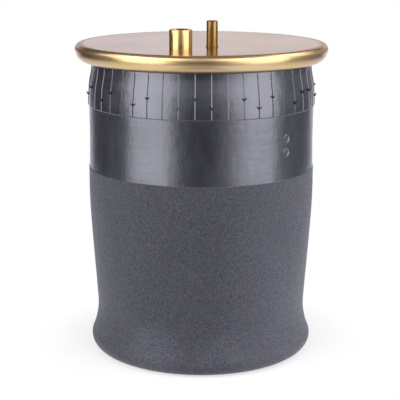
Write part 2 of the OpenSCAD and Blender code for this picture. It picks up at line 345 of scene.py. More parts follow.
def sleeve_half(name, node, run, rise):
    """One half of one layer of the sleeve."""
    path, bead_points = run
    depth_out, depth_in = LAYERS[node]
    n = normals(path)
    is_cover = node == "outer_cover"
    face = path - n * rise(path, bead_points)[:, None] if is_cover else path + n * depth_out
    back = path + n * depth_in
    if len(path) >= DENSE_RUN:
        last = back[-1]
        back = back[::2]
        if not np.allclose(back[-1], last):
            back = np.vstack((back, last))
    outline = np.vstack((face, back[::-1]))
    lift = None
    angles = np.arange(COLUMNS) * 360.0 / COLUMNS
    if is_cover and run is OUTER:
        angles, ridge = rib_angles()
        z = face[:, 1]
        along = smoothstep((z - BAND_TOP) / RAMP)
        along *= smoothstep((NECK_Z - RIB_END_GAP - z) / RIB_END_FADE)
        along[:bead_points] = 0
        lift = np.zeros((len(angles), len(outline), 2))
        lift[:, : len(face)] = -RIB_HEIGHT * ridge[:, None, None] * (along[:, None] * n)
    obj = ring_solid(name, outline, angles, lift)
    keep_rest(obj)
    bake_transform(obj)
    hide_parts(node)
    return obj


# Materials


class Nodes:
    """Short calls for building a node tree."""

    def __init__(self, tree):
        self.tree = tree

    def link(self, value, socket):
        if isinstance(value, bpy.types.NodeSocket):
            self.tree.links.new(value, socket)
        else:
            socket.default_value = value

    def add(self, kind, values=None, **settings):
        node = self.tree.nodes.new(kind)
        for key, value in settings.items():
            setattr(node, key, value)
        for key, value in (values or {}).items():
            self.link(value, node.inputs[key])
        return node

    def math(self, operation, a, b=0.0):
        return self.add("ShaderNodeMath", {0: a, 1: b}, operation=operation).outputs[0]

    def fold(self, operation, values):
        result = values[0]
        for value in values[1:]:
            result = self.math(operation, result, value)
        return result

    def total(self, *values):
        return self.fold("ADD", values)

    def product(self, *values):
        return self.fold("MULTIPLY", values)

    def largest(self, *values):
        return self.fold("MAXIMUM", values)

    def from_axis(self, x, y):
        return self.math("SQRT", self.total(self.product(x, x), self.product(y, y)))

    def ramp(self, value, low, high, out_low=0.0, out_high=1.0):
        values = {
            "Value": value, "From Min": low, "From Max": high,
            "To Min": out_low, "To Max": out_high,
        }
        return self.add("ShaderNodeMapRange", values).outputs["Result"]

    def mix(self, factor, a, b):
        node = self.add("ShaderNodeMix", data_type="RGBA")
        self.link(factor, node.inputs[0])
        self.link(a, node.inputs[6])
        self.link(b, node.inputs[7])
        return node.outputs[2]

    def mix_shaders(self, factor, a, b):
        return self.add("ShaderNodeMixShader", {0: factor, 1: a, 2: b}).outputs[0]

    def noise(self, vector, scale, detail=3.0, roughness=0.5):
        values = {"Vector": vector, "Scale": scale, "Detail": detail, "Roughness": roughness}
        return self.add("ShaderNodeTexNoise", values).outputs[0]

    def cells(self, vector, scale):
        values = {"Vector": vector, "Scale": scale}
        node = self.add("ShaderNodeTexVoronoi", values, feature="SMOOTH_F1")
        return node.outputs["Distance"]

    def position(self):
        return self.add("ShaderNodeNewGeometry").outputs["Position"]

    def object_place(self):
        return self.add("ShaderNodeTexCoord").outputs["Object"]

    def rest_place(self):
        return self.add("ShaderNodeAttribute", attribute_name="rest").outputs["Vector"]

    def split(self, vector):
        return self.add("ShaderNodeSeparateXYZ", {0: vector}).outputs

    def scaled(self, vector, factors):
        node = self.add("ShaderNodeVectorMath", {0: vector, 1: factors}, operation="MULTIPLY")
        return node.outputs[0]

    def distance(self, vector, point):
        node = self.add("ShaderNodeVectorMath", {0: vector, 1: point}, operation="DISTANCE")
        return node.outputs["Value"]

    def bump(self, height, distance):
        values = {"Height": height, "Distance": distance, "Strength": 1.0}
        return self.add("ShaderNodeBump", values).outputs["Normal"]


class Material(Nodes):
    """A new material and the node tree of its surface."""

    def __init__(self, name):
        self.material = bpy.data.materials.new(name)
        self.material.use_nodes = True
        super().__init__(self.material.node_tree)

    def set(self, **sockets):
        """Sets or links the surface shader's sockets, with _ for a space in their names."""
        shader = self.tree.nodes["Principled BSDF"]
        for key, value in sockets.items():
            self.link(value, shader.inputs[key.replace("_", " ")])
        return self.material


# The middle of the scuff in the grained zone, low on the left of the front
SCUFF = (-0.052, -0.112, 0.022)


def cover_rubber():
    """Moulded rubber: satin above, fine-grained and duller below the plain band."""
    n = Material("cover_rubber")
    place = n.rest_place()
    x, _, z = n.split(place)
    bloom = n.noise(place, 14.0, 4.0, 0.55)
    smudge = n.noise(n.scaled(place, (1, 1, 0.35)), 45.0, 5.0, 0.6)
    fine = n.noise(place, 900.0, 3.0, 0.6)
    grain = n.noise(place, 560.0, 2.0, 0.6)
    pits = n.cells(place, 520.0)

    grained = n.ramp(z, (BAND_BOTTOM + 0.2) * MM, (BAND_BOTTOM - 0.6) * MM)
    above = n.math("SUBTRACT", 1.0, grained)
    band = n.product(n.ramp(z, (BAND_TOP + 0.4) * MM, (BAND_TOP - 0.2) * MM), above)

    # Colour: nearly black above; below speckled, with painted light that lightens it towards both
    # sides, and dusty where worn
    patches = n.ramp(bloom, 0.35, 0.7)
    smooth_colour = n.mix(patches, (0.007, 0.0070, 0.0084, 1), (0.012, 0.0120, 0.0142, 1))
    band_colour = n.mix(patches, (0.009, 0.0090, 0.0108, 1), (0.014, 0.0140, 0.0168, 1))
    speckle = n.ramp(grain, 0.32, 0.72)
    grain_colour = n.mix(speckle, (0.025, 0.0247, 0.0307, 1), (0.036, 0.0355, 0.0442, 1))
    # Painted light: towards both sides of the front, most on the +X side, the speckle is mixed with
    # a pale grey, broken up by noise
    painted_side_light = n.product(
        n.total(n.ramp(x, 0.015, 0.09, 0.0, 0.30), n.ramp(x, -0.06, -0.11, 0.0, 0.10)),
        n.ramp(n.noise(place, 9.0, 3.0, 0.55), 0.30, 0.65, 0.5, 1.1),
        n.ramp(grain, 0.34, 0.68, 0.5, 1.1),
    )
    grain_colour = n.mix(painted_side_light, grain_colour, (0.15, 0.148, 0.178, 1))
    worn = n.ramp(n.noise(place, 24.0, 4.0, 0.65), 0.50, 0.75, 0.0, 0.5)
    worn = n.product(worn, n.ramp(z, 0.10, 0.02))
    scuff = n.ramp(n.distance(place, SCUFF), 0.040, 0.012)
    scuff = n.product(scuff, n.ramp(bloom, 0.42, 0.60, 0.5, 1.0))
    dust = n.ramp(n.noise(place, 520.0, 3.0, 0.6), 0.40, 0.68, 0.0, 0.62)
    dust = n.product(n.largest(worn, scuff), dust)
    grain_colour = n.mix(dust, grain_colour, (0.17, 0.17, 0.195, 1))
    colour = n.mix(grained, n.mix(band, smooth_colour, band_colour), grain_colour)

    # Finish: the grained zone mirrors less, and its lighter specks mirror more than the dark ones
    rough_above = n.total(n.ramp(smudge, 0.3, 0.7, 0.21, 0.31), n.product(band, 0.02))
    rough_grained = n.ramp(grain, 0.3, 0.7, 0.62, 0.78)
    rough = n.total(n.product(above, rough_above), n.product(grained, rough_grained))
    gloss = n.ramp(grained, 0.0, 1.0, 1.0, n.ramp(grain, 0.35, 0.67, 0.18, 0.48))
    gloss = n.math("SUBTRACT", gloss, n.product(band, 0.05))
    sheen = n.product(grained, n.ramp(grain, 0.35, 0.67, 0.07, 0.30))

    # Relief: faint waves that smear the reflections, and the grain below
    wipe = n.total(
        n.product(n.noise(n.scaled(place, (1, 1, 0.6)), 105.0, 4.0, 0.6), 0.30),
        n.product(n.noise(n.scaled(place, (1, 1, 5)), 30.0, 3.0, 0.55), 0.20),
    )
    texture = n.total(n.product(grain, 0.055), n.product(pits, 0.055))
    height = n.total(n.product(fine, 0.010), wipe, n.product(grained, texture))
    return n.set(
        Base_Color=colour, Roughness=rough, IOR=1.74, Specular_IOR_Level=gloss,
        Specular_Tint=(0.89, 0.885, 1.0, 1), Sheen_Weight=sheen, Sheen_Roughness=0.45,
        Normal=n.bump(height, 1.0 * MM),
    )


def liner_rubber():
    n = Material("liner_rubber")
    place = n.rest_place()
    cloud = n.noise(place, 60.0, 4.0, 0.6)
    colour = n.mix(n.ramp(cloud, 0.3, 0.7), (0.014, 0.014, 0.015, 1), (0.028, 0.028, 0.031, 1))
    return n.set(Base_Color=colour, Roughness=n.ramp(cloud, 0.3, 0.7, 0.45, 0.6),
                 Normal=n.bump(n.noise(place, 400.0, 3.0, 0.6), 0.05 * MM))


def ring_rubber(name, dark, light, scale):
    """Plain moulded rubber for rings and the bumper, which don't bend."""
    n = Material(name)
    place = n.object_place()
    cloud = n.noise(place, scale, 4.0, 0.6)
    speck = n.noise(place, scale * 14, 3.0, 0.6)
    return n.set(Base_Color=n.mix(n.ramp(cloud, 0.3, 0.7), dark, light),
                 Roughness=n.ramp(speck, 0.3, 0.7, 0.48, 0.66),
                 Normal=n.bump(speck, 0.08 * MM))


CORD_STRANDS = 620.0


def cord_fabric(name, lean):
    """Rubberised cord: fine strands that wind up the sleeve at a steady lean."""
    n = Material(name)
    place = n.rest_place()
    x, y, z = n.split(place)
    phase = n.total(n.product(n.math("ARCTAN2", y, x), CORD_STRANDS), n.product(z, lean))
    cord = n.total(n.product(n.math("SINE", phase), 0.5), 0.5)
    fuzz = n.noise(place, 900.0, 3.0, 0.6)
    colour = n.mix(cord, (0.10, 0.075, 0.05, 1), (0.42, 0.33, 0.22, 1))
    colour = n.mix(n.ramp(fuzz, 0.4, 0.75, 0.0, 0.5), colour, (0.05, 0.045, 0.04, 1))
    return n.set(Base_Color=colour, Roughness=n.ramp(fuzz, 0.3, 0.7, 0.6, 0.8),
                 Normal=n.bump(cord, 0.3 * MM))


def gold_zinc(name, deep, pale, rough_low, rough_high, rim_rough=0.0):
    """Yellow-passivated zinc: a satin mirror, faintly clouded and scuffed, pinkish at a slant.

    rim_rough is added on a bead plate's curled rim, which the crimping tool has dulled."""
    n = Material(name)
    place = n.object_place()
    cloud = n.noise(place, 9.0, 4.0, 0.55)
    tint = n.noise(n.scaled(place, (1, 1, 2)), 26.0, 3.0, 0.5)
    scratch = n.noise(n.scaled(place, (60, 900, 60)), 1.0, 3.0, 0.6)
    wave = n.noise(place, 22.0, 2.0, 0.5)
    gold = n.mix(n.ramp(tint, 0.35, 0.68), deep, pale)
    gold = n.mix(n.ramp(cloud, 0.45, 0.75, 0.0, 0.3), gold, (0.62, 0.50, 0.33, 1))
    rough = n.ramp(cloud, 0.3, 0.7, rough_low, rough_high)
    rough = n.total(rough, n.ramp(scratch, 0.5, 0.8, 0.0, 0.05))
    if rim_rough:
        x, y, _ = n.split(place)
        rough = n.total(rough, n.ramp(n.from_axis(x, y), 0.129, 0.134, 0.0, rim_rough))
    height = n.total(n.product(wave, 0.06), n.product(scratch, 0.003))
    return n.set(Base_Color=gold, Metallic=1.0, Roughness=rough,
                 Specular_Tint=(0.85, 0.79, 0.88, 1), Normal=n.bump(height, 1.0 * MM))


def plain_steel():
    n = Material("plain_steel")
    place = n.object_place()
    cloud = n.noise(place, 30.0, 4.0, 0.55)
    turning = n.noise(n.scaled(place, (80, 80, 1600)), 1.0, 2.0, 0.5)
    colour = n.mix(n.ramp(cloud, 0.35, 0.7), (0.60, 0.61, 0.63, 1), (0.72, 0.73, 0.74, 1))
    return n.set(Base_Color=colour, Metallic=1.0,
                 Roughness=n.ramp(cloud, 0.3, 0.7, 0.22, 0.34),
                 Normal=n.bump(turning, 0.02 * MM))


WIRE_TURNS = 6200.0


def bead_wire():
    """Bronze-coated wire wound round and round."""
    n = Material("bead_wire")
    place = n.object_place()
    x, y, z = n.split(place)
    across = n.math("SINE", n.product(n.from_axis(x, y), WIRE_TURNS))
    turns = n.total(across, n.math("SINE", n.product(z, WIRE_TURNS)))
    cloud = n.noise(place, 90.0, 3.0, 0.6)
    colour = n.mix(n.ramp(cloud, 0.35, 0.7), (0.60, 0.42, 0.22, 1), (0.72, 0.60, 0.42, 1))
    return n.set(Base_Color=colour, Metallic=1.0, Roughness=0.3, Normal=n.bump(turns, 0.15 * MM))


def whisker_rubber():
    n = Material("whisker_rubber")
    cloud = n.noise(n.object_place(), 800.0, 3.0, 0.6)
    return n.set(Base_Color=n.mix(cloud, (0.003, 0.003, 0.0035, 1), (0.008, 0.008, 0.009, 1)),
                 Roughness=n.ramp(cloud, 0.3, 0.7, 0.5, 0.7))


def paint(obj, material):
    obj.data.materials.clear()
    obj.data.materials.append(material)


def dress(obj, material):
    paint(obj, material)


# The sleeve: each layer in two halves that meet at the bottom of the lobe, the outer half running
# from the top plate's bead and the rolled half to the lower plate's bead. A reach is a distance
# above and below the bottom, listed for each half.
OUTER_REACH = 0.30
ROLLED_REACH = 0.09
SLEEVE_LOOKS = {
    "outer_cover": (cover_rubber(), "cover_rubber"),
    "cord_ply_outer": (cord_fabric("cord_fabric_right", 4200.0), "cord_fabric"),
    "cord_ply_inner": (cord_fabric("cord_fabric_left", -4200.0), "cord_fabric"),
    "inner_liner": (liner_rubber(), "liner_rubber"),
}
SLEEVE_HALVES = (
    ("_outer_wall", OUTER, outer_rise, OUTER_REACH, -OUTER_REACH),
    ("_rolled_wall", ROLLED, rolled_rise, -ROLLED_REACH, ROLLED_REACH),
)
for node, (material, slot) in SLEEVE_LOOKS.items():
    for ending, run, rise, start, end in SLEEVE_HALVES:
        dress(sleeve_half(node + ending, node, run, rise), material)

GOLD = gold_zinc(
    "gold_zinc", (0.70, 0.467, 0.20, 1), (0.68, 0.487, 0.27, 1), 0.15, 0.20, rim_rough=0.10
)
DEEP_GOLD = gold_zinc(
    "gold_zinc_turned", (0.72, 0.43, 0.125, 1), (0.70, 0.45, 0.18, 1), 0.14, 0.18
)
STUD_GOLD = gold_zinc(
    "gold_zinc_stud", (0.25, 0.130, 0.020, 1), (0.27, 0.148, 0.030, 1), 0.22, 0.28
)
STEEL = plain_steel()
WIRE = bead_wire()
BUMPER = ring_rubber("bumper_rubber", (0.014, 0.014, 0.016, 1), (0.030, 0.030, 0.033, 1), 40.0)
FILLER = ring_rubber("filler_rubber", (0.010, 0.010, 0.011, 1), (0.022, 0.022, 0.024, 1), 60.0)

# These rigid pieces keep their solids and only get a finish
FINISH = {
    "lower_bead_plate": GOLD,
    "air_inlet_weld": DEEP_GOLD, "mounting_stud_weld": DEEP_GOLD,
    "upper_bead_core": WIRE, "lower_bead_core": WIRE,
    "upper_bead_filler": FILLER, "lower_bead_filler": FILLER,
    "bumper": BUMPER, "bumper_base_plate": STEEL,
    "bumper_stud": STEEL, "bumper_washer": STEEL, "bumper_nut": STEEL,
}
for node, material in FINISH.items():
    paint(frame["nodes"][node], material)


# Turned pieces, the boss and the nuts with real threads, which replace the plain solids

THREAD_PITCH = 1.5
THREAD_DEPTH = 0.75
THREAD_STEPS = 12
THREAD_RUN_OUT = 0.8 * THREAD_PITCH
# As parts of the pitch: half the width of the groove at its mouth, and the width of one flank
GROOVE_HALF = 0.4375
FLANK = 0.3125

# Points of turned pieces nearer to each other than this are joined
MERGE = 1e-4


def inner_thread(radius, z0, z1, columns):
    """Points and faces of a helical thread that is cut outwards between two plain circles."""
    length = abs(z1 - z0)
    steps = THREAD_STEPS
    rows = int((length / THREAD_PITCH + 2) * steps) + 1
    i, j = np.meshgrid(np.arange(columns), np.arange(rows), indexing="ij")
    climb = np.clip((j / steps - 1 + i / columns) * THREAD_PITCH, 0, length)
    fade = smoothstep(np.minimum(climb, length - climb) / THREAD_RUN_OUT)
    groove = np.clip((GROOVE_HALF - np.abs((j % steps) / steps - 0.5)) / FLANK, 0, 1)
    r = radius + THREAD_DEPTH * groove * fade
    a = 2 * math.pi * i / columns
    z = z0 + math.copysign(1, z1 - z0) * climb
    points = np.stack((r * np.cos(a), r * np.sin(a), z), axis=-1)
    # Past the last column the rows continue one turn further on
    i, j = i[:, :-1], j[:, :-1]
    shift = steps * (i == columns - 1)
    i2 = (i + 1) % columns
    j2 = np.minimum(j + shift, rows - 1)
    j3 = np.minimum(j + 1 + shift, rows - 1)
    faces = np.stack((i * rows + j, i * rows + j + 1, i2 * rows + j3, i2 * rows + j2), axis=-1)
    return points.reshape(-1, 3), faces.reshape(-1, 4)


def lathe(outline, columns):
    """Points and faces of an open run of (radius, height), turned round the axis."""
    outline = np.array(outline, float)
    m = len(outline)
    a = 2 * math.pi * np.arange(columns)[:, None] / columns
    r, z = outline[None, :, 0], outline[None, :, 1]
    points = np.stack((r * np.cos(a), r * np.sin(a), z + 0 * a), axis=-1).reshape(-1, 3)
    i, j = np.meshgrid(np.arange(columns), np.arange(m - 1), indexing="ij")
    i2 = (i + 1) % columns
    faces = np.stack((i * m + j, i * m + j + 1, i2 * m + j + 1, i2 * m + j), axis=-1)
    return points, faces.reshape(-1, 4)


def turned(name, runs, places, sharp_angle=30):
    """Joins runs of turned surface, end to end, into closed pieces at each (x, y) of places."""
    built = bmesh.new()
    for x, y in places:
        for points, faces in runs:
            verts = [built.verts.new((px + x, py + y, pz)) for px, py, pz in points]
            for face in faces:
                corners = list(dict.fromkeys(int(k) for k in face))
                if len(corners) > 2:
                    built.faces.new([verts[k] for k in corners])
    bmesh.ops.remove_doubles(built, verts=built.verts, dist=MERGE)
    bmesh.ops.dissolve_degenerate(built, edges=built.edges, dist=MERGE)
    bmesh.ops.recalc_face_normals(built, faces=built.faces)
    bmesh.ops.scale(built, vec=(MM, MM, MM), verts=built.verts)
    mesh = bpy.data.meshes.new(name)
    built.to_mesh(mesh)
    built.free()
    shade(mesh, sharp_angle)
    return add_object(name, mesh)


def centre(low, high):
    return (low.x + high.x) / 2 / MM, (low.y + high.y) / 2 / MM


def half_width(low, high):
    return (high.x - low.x) / 2 / MM


# The plate's rim, pressed a little deeper than a plain curl
RIM_DEPTH = 13.7
PLATE_SHARP = 50
UNDER_PLATE = PLATE_TOP - SHEET

# The boss and the stud where they pass through the plate, and the edges of their heads below it
STUD_NECK_R = 6.7
BOSS_SEAT_R = 12.3
HOLE_GAP = 0.02
DRILL_REACH = 10
HEAD_CHAMFER = 0.4


def top_plate():
    """The pressed plate with its rim and the two holes through which boss and stud pass."""
    corner = (TOP_CURL[0] + CURL_R - CORNER_R, TOP_CURL[1])
    lip_r = TOP_CURL[0] - LIP_RUN
    outline = np.vstack((
        [(0, PLATE_TOP), (60, PLATE_TOP), (120, PLATE_TOP)],
        arc(corner, CORNER_R, 90, 0, 14),
        arc((0, 0), 1.0, 0, -90, 28)[1:] * (CURL_R, RIM_DEPTH) + TOP_CURL,
        [(lip_r, TOP_CURL[1] - RIM_DEPTH), (lip_r, TOP_CURL[1] - CHANNEL_R)],
        arc(TOP_CURL, CHANNEL_R, -90, 0, 20),
        arc(corner, CORNER_R - SHEET, 0, 90, 8)[1:],
        [(0, UNDER_PLATE)],
    ))
    obj = turned("top_bead_plate_pressed", [lathe(outline, 256)], [(0, 0)], PLATE_SHARP)
    low, high = PLATE_TOP - DRILL_REACH, PLATE_TOP + DRILL_REACH
    holes = []
    for place, radius in (
        (centre(BOSS_LOW, BOSS_HIGH), BOSS_SEAT_R), (centre(STUD_LOW, STUD_HIGH), STUD_NECK_R),
    ):
        r = radius + HOLE_GAP
        hole = turned("drill", [lathe([(0, low), (r, low), (r, high), (0, high)], 96)], [place])
        cut = obj.modifiers.new("hole", "BOOLEAN")
        cut.operation, cut.solver, cut.object = "DIFFERENCE", "EXACT", hole
        holes.append(hole)
    seen = obj.evaluated_get(bpy.context.evaluated_depsgraph_get())
    mesh = bpy.data.meshes.new_from_object(seen)
    obj.modifiers.clear()
    obj.data = mesh
    for hole in holes:
        bpy.data.objects.remove(hole)
    shade(mesh, PLATE_SHARP)
    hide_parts("top_bead_plate")
    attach(obj, "top")
    dress(obj, GOLD)


def mounting_stud():
    """A plain shank above a short neck, with its head under the plate."""
    foot, top = STUD_LOW.z / MM, STUD_HIGH.z / MM
    head_r = half_width(STUD_LOW, STUD_HIGH)
    neck_r, neck_top, neck_edge = STUD_NECK_R, PLATE_TOP + 1.0, 0.3
    shank_r, chamfer = 6.0, 0.8
    outline = [
        (0, foot), (head_r - HEAD_CHAMFER, foot), (head_r, foot + HEAD_CHAMFER),
        (head_r, UNDER_PLATE), (neck_r, UNDER_PLATE), (neck_r, neck_top - neck_edge),
        (neck_r - neck_edge, neck_top), (shank_r, neck_top), (shank_r, top - chamfer),
        (shank_r - chamfer, top), (0, top),
    ]
    obj = turned("mounting_stud_turned", [lathe(outline, 64)], [centre(STUD_LOW, STUD_HIGH)])
    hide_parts("mounting_stud")
    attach(obj, "top")
    dress(obj, STUD_GOLD)


def air_inlet_boss():
    """A turned boss with an M16 x 1.5 thread in its bore."""
    columns = 96
    foot, top = BOSS_LOW.z / MM, BOSS_HIGH.z / MM
    flange_r = half_width(BOSS_LOW, BOSS_HIGH)
    wall_r, seat_r, bore_r, edge, outer_edge = 12.1, BOSS_SEAT_R, 7.25, 0.8, 0.25
    outline = [
        (bore_r, foot), (flange_r - HEAD_CHAMFER, foot), (flange_r, foot + HEAD_CHAMFER),
        (flange_r, UNDER_PLATE), (seat_r, UNDER_PLATE), (seat_r, PLATE_TOP), (wall_r, PLATE_TOP),
        (wall_r, top - edge), (wall_r - outer_edge, top - outer_edge), (wall_r - edge, top),
        (bore_r + edge, top), (bore_r, top - edge),
    ]
    runs = [lathe(outline, columns), inner_thread(bore_r, top - edge, foot, columns)]
    obj = turned("air_inlet_boss_threaded", runs, [centre(BOSS_LOW, BOSS_HIGH)])
    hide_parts("air_inlet_boss")
    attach(obj, "top")
    dress(obj, DEEP_GOLD)


def blind_nuts():
    """Four closed nuts with M10 x 1.5 threads, open downwards."""
    columns = 48
    nut_r, height, dome, spigot_r, pitch_r = 8.0, 18.0, 1.5, 5.5, 40.0
    bore_r, depth, mouth, plain, tip = 4.25, 17.0, 0.6, 1.5, 0.5
    inside = LOWER_FACE + SHEET
    deep = LOWER_FACE + depth
    outline = [
        (0, inside + height), (nut_r - dome, inside + height), (nut_r, inside + height - dome),
        (nut_r, inside), (spigot_r, inside), (spigot_r, LOWER_FACE), (bore_r + mouth, LOWER_FACE),
        (bore_r, LOWER_FACE + mouth),
    ]
    runs = [
        lathe(outline, columns),
        inner_thread(bore_r, LOWER_FACE + mouth, deep - plain, columns),
        lathe([(bore_r, deep - plain), (bore_r, deep - tip), (0, deep)], columns),
    ]
    places = [(pitch_r * cosd(a), pitch_r * sind(a)) for a in (45, 135, 225, 315)]
    obj = turned("blind_nuts_threaded", runs, places)
    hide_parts("blind_nuts")
    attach(obj, "end_closure")
    dress(obj, STEEL)


top_plate()
mounting_stud()
air_inlet_boss()
blind_nuts()


# Vent whiskers: torn rubber stubs on the mould lines, all split in two but for one thin curl


def strand(points, radii, sides=8):
    """A tapered round strand along points, closed at both ends."""
    points = np.array(points, float)
    ahead = np.gradient(points, axis=0)
    ahead /= np.linalg.norm(ahead, axis=1)[:, None]
    across = np.cross(ahead, (0.31, 0.92, 0.23))
    across /= np.linalg.norm(across, axis=1)[:, None]
    over = np.cross(ahead, across)
    a = 2 * math.pi * np.arange(sides) / sides
    circle = (
        np.cos(a)[None, :, None] * across[:, None] + np.sin(a)[None, :, None] * over[:, None]
    )
    rings = points[:, None] + np.array(radii)[:, None, None] * circle
    n = len(points)
    faces = []
    for i in range(n - 1):
        for k in range(sides):
            k2 = (k + 1) % sides
            faces.append((i * sides + k, i * sides + k2, (i + 1) * sides + k2, (i + 1) * sides + k))
    faces.append(tuple(range(sides))[::-1])
    faces.append(tuple(range((n - 1) * sides, n * sides)))
    return rings.reshape(-1, 3), faces


BOW_POINTS = 7


def bow(start, end, lift):
    """Points from start to end, bowed by lift in the middle."""
    t = np.linspace(0, 1, BOW_POINTS)[:, None]
    return np.array(start) * (1 - t) + np.array(end) * t + np.array(lift) * (t * (1 - t) * 4)


def curl():
    """A thin curl that has come loose, as points and radii."""
    count = 26
    t = np.linspace(0, 1, count)[:, None]
    turn = t * 9.5
    out = 0.5 + 1.2 * t
    side = 4.5 * t * np.cos(turn) + 1.5 * t
    up = 2.6 * np.sin(turn) * (1 - 0.4 * t)
    return np.hstack((out, side, up)), np.linspace(0.20, 0.09, count)


# One letter for each mould line, from the one nearest the left edge: L low, H high, W a thin
# curl, and a dash where there is none. At the back a short order repeats.
WHISKERS_IN_VIEW = "LH-LH-WHL-HLH-LH"
FIRST_IN_VIEW = -8
WHISKERS_BEHIND = "LH-"
LOW_WHISKER_Z = PLATE_TOP - 55.0
HIGH_WHISKER_Z = PLATE_TOP - 46.0
WHISKER_SCATTER = 1.2
WHISKER_SINK = 0.15


def vent_whiskers():
    rng = np.random.default_rng(7)
    vertices, faces = [], []

    def keep(part, angle, z):
        """Local axes are out, sideways and up; the root sits on the mould line's crest."""
        points, part_faces = part
        a = math.radians(angle)
        out = wall_r(z) + RIBBED_RISE + RIB_HEIGHT - WHISKER_SINK + points[:, 0]
        x = out * math.cos(a) - points[:, 1] * math.sin(a)
        y = out * math.sin(a) + points[:, 1] * math.cos(a)
        base = sum(len(v) for v in vertices)
        vertices.append(np.column_stack((x, y, z + points[:, 2])) * MM)
        faces.extend(tuple(base + k for k in f) for f in part_faces)

    for k in range(RIB_COUNT):
        step = (k + RIB_COUNT // 2) % RIB_COUNT - RIB_COUNT // 2
        place = step - FIRST_IN_VIEW
        if 0 <= place < len(WHISKERS_IN_VIEW):
            kind = WHISKERS_IN_VIEW[place]
        else:
            kind = WHISKERS_BEHIND[place % len(WHISKERS_BEHIND)]
        if kind == "-":
            continue
        angle = RIB_PHASE - 90 + RIB_PITCH * step
        z = HIGH_WHISKER_Z if kind == "H" else LOW_WHISKER_Z
        z += rng.uniform(-WHISKER_SCATTER, WHISKER_SCATTER)
        if kind == "W":
            keep(strand(*curl(), sides=6), angle, z)
            continue
        root = bow((0, 0, -1.8), (0.8, 0, 0.4), (0.15, 0, 0))
        keep(strand(root, np.linspace(0.35, 1.0, BOW_POINTS)), angle, z)
        for side in (-1, 1):
            reach = rng.uniform(0.8, 1.2)
            tip = (1.6 * reach, side * 1.4 * reach, 2.0 * reach)
            branch = bow((0.35, side * 0.1, -0.1), tip, (0.3, side * 0.35, -0.3))
            keep(strand(branch, np.linspace(0.80, 0.32, BOW_POINTS)), angle, z)
    obj = new_mesh("vent_whiskers", np.vstack(vertices), faces)
    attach(obj, "top")
    dress(obj, whisker_rubber())


vent_whiskers()


# Two small round marks that mould inserts leave in the plain band. Their outline is given as
# (radius, height over the band).
MARK_ANGLE = -44.0
MARK_HEIGHTS = (254.6, 239.8)
MARK_OUTLINE = [
    (0, -0.6), (5.2, -0.6), (5.2, 0), (4.85, 0.36), (4.4, 0.5), (3.95, 0.36), (3.5, 0.02),
    (1.7, -0.05), (1.0, 0.2), (0, 0.28),
]
MARK_SHARP = 60


def mould_marks():
    places = [(0, z) for z in MARK_HEIGHTS]
    obj = turned("mould_marks", [lathe(MARK_OUTLINE, 32)], places, MARK_SHARP)
    a = math.radians(MARK_ANGLE)
    for vertex in obj.data.vertices:
        side, up, out = vertex.co
        out += wall_r(up / MM) * MM
        x = out * math.cos(a) - side * math.sin(a)
        vertex.co = (x, out * math.sin(a) + side * math.cos(a), up)
    keep_rest(obj)
    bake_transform(obj)
    dress(obj, SLEEVE_LOOKS["outer_cover"][0])


mould_marks()


# Studio: a small white table, soft lights on each side and a lit wall behind

WHITE = (1, 1, 1, 1)
TABLE_DROP = 0.0002


def table():
    """Cut off straight in front, so that the sleeve's wall mirrors the lights over that edge."""
    left, right, near, far = -0.8, 0.8, -0.55, 1.5
    corners = np.array([(left, near, 0), (right, near, 0), (right, far, 0), (left, far, 0)])
    obj = new_mesh("table", corners, [(0, 1, 2, 3)])
    n = Material("table")
    x, y, _ = n.split(n.position())
    aside = n.math("ABSOLUTE", x)
    distance = n.from_axis(x, y)
    path = n.add("ShaderNodeLightPath").outputs
    to_camera = path["Is Camera Ray"]

    # How bright the table is in the object's reflections; to the camera it is white
    by_the_foot = n.ramp(distance, 0.30, 0.14, 0.50, 1.05)
    at_the_back = n.product(n.ramp(y, 0.75, 0.95, 0.0, 1.3), n.ramp(aside, 0.78, 0.62))
    at_the_edge = n.ramp(y, -0.46, -0.50, 0.0, 0.70)
    at_the_sides = n.ramp(aside, 0.03, 0.16, 0.0, 1.2)
    at_the_sides = n.product(at_the_sides, n.ramp(aside, 0.75, 0.35, 0.6, 1.0))
    level = n.largest(by_the_foot, at_the_back, at_the_edge, at_the_sides)
    level = n.ramp(to_camera, 0.0, 1.0, level, 1.0)
    tone = n.mix(to_camera, (0.90, 0.96, 1.04, 1), WHITE)
    glow = n.add("ShaderNodeEmission", {"Color": tone, "Strength": level}).outputs[0]

    # The camera sees the object's shadow round the foot; fill light comes off a plain surface
    seen = n.largest(to_camera, path["Is Glossy Ray"], path["Is Transmission Ray"])
    shaded = n.product(to_camera, n.ramp(distance, 0.112, 0.19, 0.45, 0.0))
    diffuse = n.add("ShaderNodeBsdfDiffuse", {"Color": (0.92, 0.92, 0.92, 1)}).outputs[0]
    lit = n.mix_shaders(n.product(seen, n.math("SUBTRACT", 1.0, shaded)), diffuse, glow)

    # From below it isn't there
    below = n.add("ShaderNodeNewGeometry").outputs["Backfacing"]
    lit = n.mix_shaders(below, lit, n.add("ShaderNodeBsdfTransparent").outputs[0])
    n.link(lit, n.tree.nodes["Material Output"].inputs["Surface"])
    obj.data.materials.append(n.material)
    obj.location.z = -TABLE_DROP
    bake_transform(obj)


LIGHT_TARGET = Vector((0, 0, 0.2))
LIGHT_DISTANCE = 1.6
LIGHT_COLOUR = (0.97, 0.97, 1.0)


